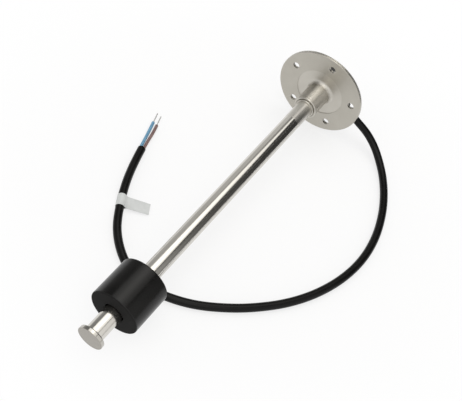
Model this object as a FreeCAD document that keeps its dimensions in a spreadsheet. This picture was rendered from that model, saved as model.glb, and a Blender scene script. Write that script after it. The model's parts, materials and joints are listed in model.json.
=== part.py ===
"""Fuel level sender: a flanged stainless stem with a sliding magnet float and a loose cable.

The sender lies on a flat surface, as it would on a bench: the rim of the flange and the loop of the
cable carry it, and the float slides clear over the cable. Sizes are in millimetres, +Z is up and Z = 0
is the surface.
+X runs along the stem towards the flange, and the origin is below the middle of the sender.
"""
import FreeCAD, Part
import Sketcher
import math
import os

from FreeCAD import Placement, Rotation, Vector

# Driving dimensions, each written once.
DIMENSIONS = {
    # flange and hub, one turned piece
    "flange_diameter": 70.0,
    "flange_thickness": 2.5,
    "flange_edge": 0.4,
    "bolt_circle": 54.0,
    "bolt_hole": 5.2,
    "bolt_count": 5,
    "bolt_turn": 22.8,
    "recess_diameter": 38.6,
    "recess_depth": 0.5,
    "hub_diameter": 18.2,
    "hub_length": 21.3,
    "hub_fillet": 3.0,
    "hub_rim": 0.6,
    "collar_diameter": 15.0,
    "collar_length": 1.2,
    "collar_edge": 0.4,
    # stem tube and its lower end
    "stem_diameter": 12.7,
    "stem_wall": 0.8,
    "stem_reach": 263.0,
    "stem_above": 6.0,
    "fit_clearance": 0.05,
    "plug_diameter": 18.0,
    "plug_thickness": 3.0,
    "plug_edge": 0.4,
    "spigot_length": 8.0,
    # float and its ring magnet
    "float_diameter": 35.0,
    "float_length": 30.7,
    "float_bore": 14.0,
    "float_edge": 1.0,
    "float_mouth": 0.7,
    "float_rest": 18.7,
    "magnet_diameter": 26.0,
    "magnet_bore": 15.0,
    "magnet_thickness": 6.0,
    "magnet_clearance": 0.1,
    # moulded elbow on the outer face of the flange
    "boot_diameter": 28.0,
    "boot_height": 17.0,
    "boot_round": 3.0,
    "neck_height": 9.5,
    "neck_reach": 24.0,
    "neck_root": 12.0,
    "neck_tip": 8.8,
    "neck_drop": 25.0,
    "rib_count": 3,
    "rib_diameter": 12.0,
    "rib_width": 1.4,
    "rib_pitch": 3.2,
    # circuit inside the tube
    "potting_length": 22.0,
    "board_width": 9.6,
    "board_thickness": 1.0,
    "board_drop": 1.2,
    "reed_count": 10,
    "reed_first": 36.0,
    "reed_last": 25.5,
    "reed_diameter": 2.0,
    "reed_length": 10.0,
    "reed_standoff": 0.1,
    "reed_leg": 2.0,
    "leg_diameter": 0.5,
    "resistor_length": 2.0,
    "resistor_width": 1.25,
    "resistor_height": 0.5,
    "lead_diameter": 1.6,
    "lead_length": 12.0,
    "lead_spread": 3.2,
    # cable, its label and its free ends
    "cable_diameter": 6.0,
    "cable_cross": 205.6,
    "lay_clearance": 0.5,
    "exit_run": 12.0,
    "label_width": 9.6,
    "label_reach": 17.5,
    "label_thickness": 0.25,
    "label_clearance": 0.1,
    "label_droop": 8.5,
    "wire_diameter": 2.4,
    "wire_spread": 2.5,
    "wire_straight": 8.5,
    "conductor_diameter": 0.9,
    "conductor_length": 10.8,
}

# Route of the cable over the surface after it leaves the elbow, point by point, as it was laid.
CABLE_ROUTE = [
    Vector(137.6, -44.6, 14.2),
    Vector(135.2, -55.6, 8.6),
    Vector(128.6, -65.5, 4.6),
    Vector(118.3, -75.0, 3.0),
    Vector(103.0, -84.3, 3.0),
    Vector(85.2, -92.1, 3.0),
    Vector(63.2, -98.2, 3.0),
    Vector(39.2, -100.1, 3.0),
    Vector(15.0, -96.7, 3.0),
    Vector(-8.5, -88.5, 3.0),
    Vector(-29.5, -76.4, 3.0),
    Vector(-47.6, -61.0, 3.0),
    Vector(-59.8, -47.7, 3.0),
    Vector(-71.4, -31.9, 3.0),
    Vector(-78.5, -16.8, 3.0),
    Vector(-82.6, -2.0, 3.0),
    Vector(-81.8, 13.5, 3.0),
    Vector(-74.6, 28.1, 3.0),
    Vector(-64.5, 40.2, 3.0),
    Vector(-53.2, 49.0, 3.4),
    Vector(-30.1, 61.7, 3.4),
    Vector(-9.7, 69.7, 3.0),
    Vector(5.5, 74.2, 3.0),
]
LABEL_RUN = 19  # the label sits halfway along the run that starts at this point

# Where each core goes once it is clear of the jacket.
BLUE_ROUTE = [Vector(23.2, 81.0, 2.2), Vector(32.5, 84.2, 1.6)]
BROWN_ROUTE = [Vector(23.4, 77.6, 2.2), Vector(31.9, 80.5, 1.6)]

ARC_SHARE = 0.45  # share of the shorter run that each bend of a cord takes up
SAME_PLACE = 1e-4  # two places nearer than this are one

doc = FreeCAD.newDocument("fuel_level_sender")
sheet = doc.addObject("Spreadsheet::Sheet", "sizes")


class Size:
    """A number together with the sheet formula that gives it."""

    def __init__(self, number, formula):
        self.number = number
        self.formula = formula

    def joined(self, sign, other, number):
        return Size(number, f"({self.formula} {sign} {formula_of(other)})")

    def __add__(self, other):
        return self.joined("+", other, self.number + number_of(other))

    def __sub__(self, other):
        return self.joined("-", other, self.number - number_of(other))

    def __mul__(self, other):
        return self.joined("*", other, self.number * number_of(other))

    def __truediv__(self, other):
        return self.joined("/", other, self.number / number_of(other))


def number_of(value):
    return value.number if isinstance(value, Size) else float(value)


def formula_of(value):
    return value.formula if isinstance(value, Size) else str(value)


def fill_sheet():
    """Write every driving dimension into the sheet under its own alias."""
    for row, (alias, number) in enumerate(DIMENSIONS.items(), start=1):
        sheet.set(f"A{row}", alias)
        sheet.set(f"B{row}", str(number))
        sheet.setAlias(f"B{row}", alias)
    doc.recompute()


def size(alias):
    return Size(float(sheet.get(alias)), f"sizes.{alias}")


def bind(thing, **formulas):
    """Tie properties of a document object to the sheet."""
    for name, value in formulas.items():
        thing.setExpression(name, formula_of(value))


fill_sheet()

# Places along the stem, measured from the lower end of the plug towards the cable.
plug_top = size("plug_thickness")
spigot_top = plug_top + size("spigot_length")
tank_face = size("stem_reach") + size("plug_thickness")
recess_floor = tank_face + size("recess_depth")
outer_face = tank_face + size("flange_thickness")
hub_mouth = tank_face - size("hub_length")
collar_face = hub_mouth - size("collar_length")
stem_top = outer_face + size("stem_above")
potting_foot = stem_top - size("potting_length")
float_foot = plug_top + size("float_rest")
float_top = float_foot + size("float_length")
float_middle = float_foot + size("float_length") / 2

# Radii that two pieces share.
stem_radius = size("stem_diameter") / 2
stem_bore = stem_radius - size("stem_wall")
around_stem = stem_radius + size("fit_clearance")
inside_stem = stem_bore - size("fit_clearance")

# Heights across the circuit board, from the stem's axis.
board_top = size("board_thickness") / 2 - size("board_drop")
reed_axis = board_top + size("reed_standoff") + size("reed_diameter") / 2

# The reeds share the length between the flange and the spigot evenly.
reed_span = tank_face - size("reed_first") - spigot_top - size("reed_last")
reed_pitch = reed_span / (size("reed_count") - 1)


def lying_tilt():
    """Angle of the stem at which the float's underside slides just clear over the cable."""
    flange_radius = number_of(size("flange_diameter")) / 2
    float_radius = number_of(size("float_diameter")) / 2
    crossing = number_of(size("cable_cross"))
    clear = number_of(size("cable_diameter") + size("lay_clearance"))
    drop = flange_radius - float_radius
    return math.atan2(drop, crossing) - math.asin(clear / math.hypot(drop, crossing))


def lying_place():
    """Placement of the stem's own frame: rim on the surface, sender centred above the origin."""
    tilt = lying_tilt()
    cosine, sine = math.cos(tilt), math.sin(tilt)
    edge = number_of(size("flange_edge"))
    rim_centre = number_of(size("flange_diameter")) / 2 - edge
    height = rim_centre * cosine + edge - (number_of(tank_face) + edge) * sine

    plug_edge = number_of(size("plug_edge"))
    plug_ring = number_of(size("plug_diameter")) / 2 - plug_edge
    low_end = plug_edge * cosine - plug_ring * sine - plug_edge
    boot_round = number_of(size("boot_round"))
    boot_ring = number_of(size("boot_diameter")) / 2 - boot_round
    boot_top = number_of(outer_face + size("boot_height")) - boot_round
    high_end = boot_top * cosine + boot_ring * sine + boot_round
    shift = -(low_end + high_end) / 2
    return Placement(Vector(shift, 0, height), Rotation(Vector(0, 1, 0), -math.degrees(tilt)))


LYING = lying_place()


def lay(thing, along=0, across=0, up=0, turn=Rotation()):
    """Place an object by its position in the stem's own frame."""
    spot = Vector(number_of(along), number_of(across), number_of(up))
    thing.Placement = LYING.multiply(Placement(spot, turn))


def origin_feature(body, role):
    return next(item for item in body.Origin.OriginFeatures if item.Role == role)


def pin(sketch, line, axis, value):
    """Fix one coordinate of a line's first point, on the axis itself or by a sheet formula."""
    if value == 0:
        on_axis = -2 if axis == "X" else -1
        sketch.addConstraint(Sketcher.Constraint("PointOnObject", line, 1, on_axis))
        return
    rule = Sketcher.Constraint("Distance" + axis, -1, 1, line, 1, number_of(value))
    name = f"{axis.lower()}_of_{line}"
    sketch.renameConstraint(sketch.addConstraint(rule), name)
    sketch.setExpression(f"Constraints.{name}", formula_of(value))


def turned_body(name, outline):
    """A body turned about the stem's axis from corners given as (along, radius)."""
    body = doc.addObject("PartDesign::Body", name)
    sketch = body.newObject("Sketcher::SketchObject", name + "_outline")
    sketch.AttachmentSupport = [(origin_feature(body, "XY_Plane"), "")]
    sketch.MapMode = "FlatFace"
    corners = [Vector(number_of(along), number_of(radius), 0) for along, radius in outline]
    for start, end in zip(corners, corners[1:] + corners[:1]):
        sketch.addGeometry(Part.LineSegment(start, end), False)
    for line, (along, radius) in enumerate(outline):
        after = (line + 1) % len(outline)
        sketch.addConstraint(Sketcher.Constraint("Coincident", line, 2, after, 1))
        pin(sketch, line, "X", along)
        pin(sketch, line, "Y", radius)
    turn = body.newObject("PartDesign::Revolution", name + "_turn")
    turn.Profile = sketch
    turn.ReferenceAxis = (sketch, ["H_Axis"])
    turn.Angle = 360
    doc.recompute()
    body.Placement = LYING
    return body


def ring_edges(shape, rings):
    """Names of the round edges that lie at the given (along, radius) places."""
    names = []
    for index, edge in enumerate(shape.Edges, start=1):
        if not isinstance(edge.Curve, Part.Circle):
            continue
        for along, radius in rings:
            same_place = abs(edge.Curve.Center.x - number_of(along)) < SAME_PLACE
            if same_place and abs(edge.Curve.Radius - number_of(radius)) < SAME_PLACE:
                names.append(f"Edge{index}")
    return names


def round_rings(body, name, radius, rings):
    """Round off edges of a turned body."""
    base = body.Tip
    fillet = body.newObject("PartDesign::Fillet", f"{body.Name}_{name}")
    fillet.Base = (base, ring_edges(base.Shape, rings))
    bind(fillet, Radius=radius)
    doc.recompute()


def mounting_flange():
    """Turned plate and hub, with a narrow collar round the stem at the hub's mouth."""
    bore, hub = around_stem, size("hub_diameter") / 2
    collar, rim = size("collar_diameter") / 2, size("flange_diameter") / 2
    recess = size("recess_diameter") / 2
    body = turned_body("mounting_flange", [
        (collar_face, bore), (collar_face, collar), (hub_mouth, collar), (hub_mouth, hub),
        (recess_floor, hub), (recess_floor, recess), (tank_face, recess), (tank_face, rim),
        (outer_face, rim), (outer_face, bore),
    ])
    round_rings(body, "root", size("hub_fillet"), [(recess_floor, hub)])
    round_rings(body, "mouth", size("hub_rim"), [(hub_mouth, hub)])
    round_rings(body, "collar", size("collar_edge"), [(collar_face, collar)])
    round_rings(body, "rim", size("flange_edge"), [(tank_face, rim), (outer_face, rim)])
    drill_bolt_holes(body)
    return body


def drill_bolt_holes(body):
    """One hole on the bolt circle, cut through the plate and repeated round the axis."""
    circle_radius = size("bolt_circle") / 2
    angle = math.radians(number_of(size("bolt_turn")))
    spot = Vector(math.cos(angle), math.sin(angle), 0) * number_of(circle_radius)
    sketch = body.newObject("Sketcher::SketchObject", "bolt_hole_outline")
    sketch.AttachmentSupport = [(origin_feature(body, "YZ_Plane"), "")]
    sketch.MapMode = "FlatFace"
    hole_radius = size("bolt_hole") / 2
    sketch.addGeometry(Part.Circle(spot, Vector(0, 0, 1), number_of(hole_radius)), False)
    for kind, numbers, formula in (
        ("DistanceX", (-1, 1, 0, 3, spot.x), f"{circle_radius.formula} * cos(sizes.bolt_turn * 1 deg)"),
        ("DistanceY", (-1, 1, 0, 3, spot.y), f"{circle_radius.formula} * sin(sizes.bolt_turn * 1 deg)"),
        ("Radius", (0, number_of(hole_radius)), hole_radius.formula),
    ):
        sketch.renameConstraint(sketch.addConstraint(Sketcher.Constraint(kind, *numbers)), kind)
        sketch.setExpression(f"Constraints.{kind}", formula)
    whole = body.Tip.Shape.Volume
    hole = body.newObject("PartDesign::Pocket", "bolt_hole")
    hole.Profile = sketch
    hole.Type = "ThroughAll"
    hole.Reversed = True
    doc.recompute()
    holes = body.newObject("PartDesign::PolarPattern", "bolt_holes")
    holes.Originals = [hole]
    holes.Axis = (origin_feature(body, "X_Axis"), [""])
    holes.Angle = 360
    bind(holes, Occurrences=size("bolt_count"))
    body.Tip = holes
    doc.recompute()
    one_hole = math.pi * number_of(hole_radius) ** 2 * number_of(size("flange_thickness"))
    cut = (whole - body.Shape.Volume) / one_hole
    print(f"bolt holes cut: {cut:.3f} of {number_of(size('bolt_count')):.0f}")


def stem_tube():
    return turned_body("stem_tube", [
        (plug_top, stem_bore), (plug_top, stem_radius), (stem_top, stem_radius), (stem_top, stem_bore),
    ])


def end_plug():
    """Disc that stops the float, with a spigot in the tube."""
    head = size("plug_diameter") / 2
    body = turned_body("end_plug", [
        (0, 0), (0, head), (plug_top, head), (plug_top, inside_stem), (spigot_top, inside_stem),
        (spigot_top, 0),
    ])
    round_rings(body, "edge", size("plug_edge"), [(0, head), (plug_top, head)])
    return body


def float_body():
    """Foam cylinder with bevelled bore ends and a groove for its magnet."""
    outer, bore, bevel = size("float_diameter") / 2, size("float_bore") / 2, size("float_mouth")
    groove = size("magnet_diameter") / 2 + size("magnet_clearance")
    half_groove = size("magnet_thickness") / 2 + size("magnet_clearance")
    body = turned_body("float_body", [
        (float_foot + bevel, bore), (float_foot, bore + bevel), (float_foot, outer), (float_top, outer),
        (float_top, bore + bevel), (float_top - bevel, bore), (float_middle + half_groove, bore),
        (float_middle + half_groove, groove), (float_middle - half_groove, groove),
        (float_middle - half_groove, bore),
    ])
    round_rings(body, "edges", size("float_edge"), [(float_foot, outer), (float_top, outer)])
    return body


def float_magnet():
    outer, bore = size("magnet_diameter") / 2, size("magnet_bore") / 2
    half = size("magnet_thickness") / 2
    return turned_body("float_magnet", [
        (float_middle - half, bore), (float_middle - half, outer), (float_middle + half, outer),
        (float_middle + half, bore),
    ])


def potting_plug():
    """Cast resin that closes the top of the tube."""
    return turned_body("potting_plug", [
        (potting_foot, 0), (potting_foot, inside_stem), (stem_top, inside_stem), (stem_top, 0),
    ])


def cylinder(name, radius, height):
    part = doc.addObject("Part::Cylinder", name)
    bind(part, Radius=radius, Height=height)
    return part


def box(name, length, width, height):
    part = doc.addObject("Part::Box", name)
    bind(part, Length=length, Width=width, Height=height)
    return part


def group(name, members):
    """Several loose solids of one kind in one piece of the document."""
    whole = doc.addObject("Part::Compound", name)
    whole.Links = members
    return whole


def fused(name, members):
    whole = doc.addObject("Part::MultiFuse", name)
    whole.Shapes = members
    return whole


def cut(name, base, tool):
    rest = doc.addObject("Part::Cut", name)
    rest.Base = base
    rest.Tool = tool
    return rest


ALONG_STEM = Rotation(Vector(0, 0, 1), Vector(1, 0, 0))


def neck_direction():
    """Way the cable leaves the elbow, in the stem's own frame: sideways and down."""
    drop = math.radians(number_of(size("neck_drop")))
    return Vector(0, -math.cos(drop), -math.sin(drop))


def cable_boot():
    """Moulded elbow over the end of the tube, with ribs on its neck."""
    barrel = cylinder("boot_barrel", size("boot_diameter") / 2, size("boot_height"))
    lay(barrel, outer_face, turn=ALONG_STEM)
    doc.recompute()
    dome = doc.addObject("Part::Fillet", "boot_dome")
    dome.Base = barrel
    top = LYING.multVec(Vector(number_of(outer_face + size("boot_height")), 0, 0))
    top_edge = next(
        index for index, edge in enumerate(barrel.Shape.Edges, start=1)
        if isinstance(edge.Curve, Part.Circle) and edge.Curve.Center.distanceToPoint(top) < SAME_PLACE
    )
    dome_radius = number_of(size("boot_round"))
    dome.Edges = [(top_edge, dome_radius, dome_radius)]

    sideways = Rotation(Vector(0, 0, 1), neck_direction())
    neck_axis = outer_face + size("neck_height")
    neck = doc.addObject("Part::Cone", "boot_neck")
    bind(neck, Radius1=size("neck_root") / 2, Radius2=size("neck_tip") / 2, Height=size("neck_reach"))
    lay(neck, neck_axis, turn=sideways)
    ribs = []
    for index in range(int(number_of(size("rib_count")))):
        rib = cylinder(f"boot_rib_{index + 1}", size("rib_diameter") / 2, size("rib_width"))
        reach = size("neck_reach") - size("rib_pitch") * (index + 1)
        spot = neck_direction() * number_of(reach)
        lay(rib, neck_axis, spot.y, spot.z, sideways)
        ribs.append(rib)

    socket = cylinder("boot_socket", around_stem, size("stem_above"))
    lay(socket, outer_face, turn=ALONG_STEM)
    return cut("cable_boot", fused("boot_moulding", [dome, neck] + ribs), socket)


def circuit_board():
    board = box("circuit_board", potting_foot - spigot_top, size("board_width"), size("board_thickness"))
    low_side = board_top - size("board_thickness")
    lay(board, spigot_top, size("board_width") / 2 * -1, low_side)
    return board


def reed_place(index):
    """Middle of a reed switch, counted from the flange down."""
    return tank_face - size("reed_first") - reed_pitch * index


def reed_capsules():
    capsules = []
    for index in range(int(number_of(size("reed_count")))):
        glass = cylinder(f"reed_glass_{index + 1}", size("reed_diameter") / 2, size("reed_length"))
        lay(glass, reed_place(index) - size("reed_length") / 2, up=reed_axis, turn=ALONG_STEM)
        capsules.append(glass)
    return group("reed_capsules", capsules)


def reed_leads():
    """A bent leg at each end of every reed, out of the glass and down to the board."""
    legs = []
    leg_radius = size("leg_diameter") / 2
    for index in range(int(number_of(size("reed_count")))):
        for end, side in (("low", -1), ("high", 1)):
            tag = f"{end}_{index + 1}"
            glass_end = reed_place(index) + size("reed_length") / 2 * side
            arm = cylinder(f"leg_arm_{tag}", leg_radius, size("reed_leg"))
            start = glass_end - size("reed_leg") if side < 0 else glass_end
            lay(arm, start, up=reed_axis, turn=ALONG_STEM)
            foot = cylinder(f"leg_foot_{tag}", leg_radius, reed_axis - board_top)
            lay(foot, glass_end + size("reed_leg") * side, up=board_top)
            legs.append(fused(f"leg_{tag}", [arm, foot]))
    return group("reed_leads", legs)


def chip_resistors():
    """One chip between each reed and the next."""
    chips = []
    for index in range(int(number_of(size("reed_count"))) - 1):
        chip = box(
            f"chip_{index + 1}", size("resistor_length"), size("resistor_width"), size("resistor_height")
        )
        middle = reed_place(index) - reed_pitch / 2
        lay(chip, middle - size("resistor_length") / 2, size("resistor_width") / 2 * -1, board_top)
        chips.append(chip)
    return group("chip_resistors", chips)


def inner_lead(name, side):
    """A core of the cable from the resin down to its end of the board."""
    lead = cylinder(name, size("lead_diameter") / 2, size("lead_length"))
    height = board_top + size("lead_diameter") / 2 + size("fit_clearance")
    lay(lead, potting_foot - size("lead_length"), size("lead_spread") / 2 * side, height, ALONG_STEM)
    return lead


def rounded_path(name, points):
    """Straight runs joined by bends that are as wide as the runs allow."""
    edges = []
    radii = []
    start = points[0]
    for before, corner, after in zip(points, points[1:], points[2:]):
        trim = ARC_SHARE * min((corner - before).Length, (after - corner).Length)
        back = (before - corner).normalize()
        ahead = (after - corner).normalize()
        turn = math.pi - back.getAngle(ahead)
        radius = trim / math.tan(turn / 2)
        arc_start = corner + back * trim
        arc_end = corner + ahead * trim
        inward = (back + ahead).normalize()
        arc_middle = corner + inward * (radius / math.cos(turn / 2) - radius)
        edges.append(Part.LineSegment(start, arc_start).toShape())
        edges.append(Part.Arc(arc_start, arc_middle, arc_end).toShape())
        radii.append(radius)
        start = arc_end
    edges.append(Part.LineSegment(start, points[-1]).toShape())
    path = doc.addObject("Part::Feature", name + "_path")
    path.Shape = Part.Wire(edges)
    print(name, f"length {path.Shape.Length:.1f}, smallest bend radius {min(radii):.1f}")
    print(" radii", " ".join(f"{radius:.0f}" for radius in radii))
    return path


def cord(name, points, diameter):
    """A round cord along a route."""
    path = rounded_path(name, points)
    section = doc.addObject("Part::Circle", name + "_section")
    bind(section, Radius=diameter / 2)
    section.Placement = Placement(points[0], Rotation(Vector(0, 0, 1), points[1] - points[0]))
    sweep = doc.addObject("Part::Sweep", name)
    sweep.Sections = [section]
    sweep.Spine = (path, [f"Edge{index + 1}" for index in range(len(path.Shape.Edges))])
    sweep.Solid = True
    doc.recompute()
    plain = math.pi * number_of(diameter) ** 2 / 4 * path.Shape.Length
    print(f" volume {sweep.Shape.Volume:.1f}, section times length {plain:.1f}")
    return sweep


def cable_points():
    """Mouth of the elbow, a short straight run out of it, then the route that was laid."""
    neck_axis = Vector(number_of(outer_face + size("neck_height")), 0, 0)
    way = neck_direction()
    mouth = LYING.multVec(neck_axis + way * number_of(size("neck_reach")))
    clear = LYING.multVec(neck_axis + way * number_of(size("neck_reach") + size("exit_run")))
    return [mouth, clear] + CABLE_ROUTE


def cable_label():
    """Band folded round the cable, with a flag to one side that droops a little."""
    start, end = CABLE_ROUTE[LABEL_RUN], CABLE_ROUTE[LABEL_RUN + 1]
    heading = (end - start).normalize()
    middle = (start + end) / 2
    side = heading.cross(Vector(0, 0, 1)).normalize()
    lift = heading.cross(side)
    width = size("label_width")
    inner = size("cable_diameter") / 2 + size("label_clearance")
    outer = inner + size("label_thickness")
    first = middle - heading * (number_of(width) / 2)

    band_outer = cylinder("label_band_outer", outer, width)
    band_inner = cylinder("label_band_inner", inner, width)
    for band in (band_outer, band_inner):
        band.Placement = Placement(first, Rotation(Vector(0, 0, 1), heading))
    band = cut("label_band", band_outer, band_inner)

    flag = box("label_flag", width, size("label_reach"), size("label_thickness"))
    droop = Rotation(heading, number_of(size("label_droop")))
    flat = Rotation(heading, side, lift, "XYZ")
    root = first + side * number_of(inner + size("label_thickness") / 4)
    flag.Placement = Placement(root, droop.multiply(flat))
    return fused("cable_label", [band, flag])


def jacket_end():
    """Centre and direction of the cut end of the jacket."""
    end = CABLE_ROUTE[-1]
    return end, (end - CABLE_ROUTE[-2]).normalize()


def free_core(colour, side, route):
    """An insulated core out of the jacket's end, and its tinned strands."""
    end, heading = jacket_end()
    left = Vector(0, 0, 1).cross(heading)
    start = end + left * (side * number_of(size("wire_spread")) / 2)
    points = [start, start + heading * number_of(size("wire_straight"))] + route
    wire = cord(f"{colour}_wire", points, size("wire_diameter"))
    way = (points[-1] - points[-2]).normalize()
    conductor = cylinder(
        f"{colour}_conductor", size("conductor_diameter") / 2, size("conductor_length")
    )
    conductor.Placement = Placement(points[-1], Rotation(Vector(0, 0, 1), way))
    return [wire, conductor]


def build():
    pieces = [
        mounting_flange(), stem_tube(), end_plug(), float_body(), float_magnet(), potting_plug(),
        cable_boot(), circuit_board(), reed_capsules(), reed_leads(), chip_resistors(),
        inner_lead("blue_lead", 1), inner_lead("brown_lead", -1),
        cord("cable_jacket", cable_points(), size("cable_diameter")), cable_label(),
    ]
    pieces += free_core("blue", 1, BLUE_ROUTE)
    pieces += free_core("brown", -1, BROWN_ROUTE)
    doc.recompute()
    return pieces


def check(pieces):
    """Stop before anything is written if a feature failed or a shape is unsound."""
    for item in doc.Objects:
        if "Invalid" in item.State or "Error" in item.State:
            raise RuntimeError(f"{item.Name} failed to build: {item.State}")
    for piece in pieces:
        if piece.Shape.isNull() or not piece.Shape.isValid():
            raise RuntimeError(f"{piece.Label} has no sound shape")


def write(pieces):
    os.makedirs("parts", exist_ok=True)
    for piece in pieces:
        piece.Shape.exportStep(os.path.join("parts", f"{piece.Label}.step"))
        solids = len(piece.Shape.Solids)
        print(f"{piece.Label}: {solids} solid(s), {piece.Shape.Volume:.1f} cubic mm")


sender = build()
check(sender)
write(sender)
face_middle = LYING.multVec(Vector(number_of(tank_face), 0, 0))
print(f"tilt {math.degrees(lying_tilt()):.3f} degrees, flange face at {face_middle}")
print("cable leaves at", cable_points()[0], "and", cable_points()[1])
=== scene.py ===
# %% [markdown]
# # A fuel level sender on a white table
#
# The sender is a stainless stem with a bolted flange at one end and a rubber float that slides on it. Inside
# the stem, small switches close one after the other as the float's magnet passes, and a two-core cable
# carries the reading away. The solids of every piece already exist in a packed model, in metres, and they
# fix where everything is. This lesson dresses them: each visible piece is modelled again as a clean mesh or
# curve in the same place, and each surface gets a finish made of nodes.

# %% The packed model
import json
import math

import bmesh
import bpy
from mathutils import Matrix, Quaternion, Vector


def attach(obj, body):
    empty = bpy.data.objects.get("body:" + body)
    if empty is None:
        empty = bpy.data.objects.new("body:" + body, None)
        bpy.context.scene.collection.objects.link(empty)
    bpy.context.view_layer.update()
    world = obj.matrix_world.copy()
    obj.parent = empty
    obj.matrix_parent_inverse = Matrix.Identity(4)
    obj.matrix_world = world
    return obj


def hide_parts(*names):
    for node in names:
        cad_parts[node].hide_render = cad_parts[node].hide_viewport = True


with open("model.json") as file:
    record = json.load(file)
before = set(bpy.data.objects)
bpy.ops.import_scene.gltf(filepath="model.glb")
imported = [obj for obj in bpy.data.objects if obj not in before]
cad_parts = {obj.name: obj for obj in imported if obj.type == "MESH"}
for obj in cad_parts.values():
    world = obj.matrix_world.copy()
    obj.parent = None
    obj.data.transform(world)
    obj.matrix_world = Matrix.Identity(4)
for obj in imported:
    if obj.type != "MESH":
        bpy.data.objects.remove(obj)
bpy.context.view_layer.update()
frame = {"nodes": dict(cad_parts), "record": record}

print("solids:", ", ".join(sorted(frame["nodes"])))

# %% [markdown]
# ## The stem's own frame
#
# The stem lies tilted, because the rim of its flange holds one end higher than the other. Turned pieces
# are far easier to describe along a level axis, so they are built round the x axis of a frame of their own
# and their objects are then placed by one matrix. The bolt pattern in the record gives that matrix: its
# centre lies in the middle of the flange plate and its axis runs along the stem towards the cable.

# %% The stem's own frame
MM = 0.001
PLATE = 2.5 * MM

mounts = {mount["name"]: mount for mount in frame["record"]["mounts"]}
bolt_circle = mounts["flange_bolts"]
stem_way = Vector(bolt_circle["axis"]).normalized()
stem_side = Vector((0, 1, 0))
stem_up = stem_way.cross(stem_side)
tank_face = Vector(bolt_circle["pos_m"]) - stem_way * (PLATE / 2)
stem_turn = Matrix((stem_way, stem_side, stem_up)).transposed().to_4x4()
stem_place = Matrix.Translation(tank_face) @ stem_turn
print("tank side of the flange at", tuple(round(value, 4) for value in tank_face))
print("tilt of the stem:", round(math.degrees(math.asin(stem_way.z)), 2), "degrees")

# %% [markdown]
# ## The camera
#
# The picture looks down on the sender from beyond its lower end, with the stem rising to the upper right.
# A camera can be turned by three angles, but a place, a point to look at and a roll are easier to read and
# to correct. The roll tips the picture anticlockwise.

# %% The camera
CAMERA_PLACE = Vector((-0.33970, -0.10881, 0.46643))
CAMERA_AIM = Vector((0.00110, -0.00445, 0.020))
CAMERA_ROLL = math.radians(22)
CAMERA_LENS = 64.81
CAMERA_SENSOR = 36


def put_in_scene(name, data):
    """A new object in the scene, from a mesh, a curve, a lamp or a camera."""
    item = bpy.data.objects.new(name, data)
    bpy.context.scene.collection.objects.link(item)
    return item


camera = put_in_scene("camera", bpy.data.cameras.new("camera"))
camera.data.lens = CAMERA_LENS
camera.data.sensor_width = CAMERA_SENSOR
camera.location = CAMERA_PLACE
camera.rotation_mode = "QUATERNION"
level_look = (CAMERA_AIM - CAMERA_PLACE).to_track_quat("-Z", "Y")
camera.rotation_quaternion = level_look @ Quaternion((0, 0, 1), CAMERA_ROLL)
bpy.context.scene.camera = camera
print("camera", round((CAMERA_AIM - CAMERA_PLACE).length, 3), "m from the middle of the sender")

# %% [markdown]
# ## Nodes, patterns and finishes
#
# No real surface has one colour or one gloss. Every finish here is a Principled shader whose colour,
# roughness and relief are driven by patterns at sizes that the real material has. Noise nodes take a scale,
# which is hard to picture, so the helper asks for the size of a speck in metres instead, one for each
# direction: a drawn bar has specks that are long along the bar and narrow across it. Other patterns say
# where a point lies: on an end face, past a spot on the stem or near its axis. Values that are the same all
# over go straight onto the shader's own sockets. Nodes can be wired one line at a time, but then the wiring
# hides the idea, so one small function adds a node, sets its values and links its inputs.

# %% A helper for nodes
def new_material(name):
    """A new material, and the tree that holds its nodes."""
    material = bpy.data.materials.new(name)
    material.use_nodes = True
    return material, material.node_tree


def add_node(tree, kind, inputs, **settings):
    """Add a node with its settings; each input is linked to an output or set to a value."""
    node = tree.nodes.new(kind)
    for setting, value in settings.items():
        setattr(node, setting, value)
    for socket, value in inputs.items():
        if isinstance(value, bpy.types.NodeSocket):
            tree.links.new(value, node.inputs[socket])
        else:
            node.inputs[socket].default_value = value
    return node


print("materials before dressing:", len(bpy.data.materials))

# %% A helper for patterns
METRE_WAVE = math.tau / 20  # scale at which a Wave Texture repeats once in a metre


def even(size):
    """The same size along x, y and z."""
    return (size, size, size)


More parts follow.
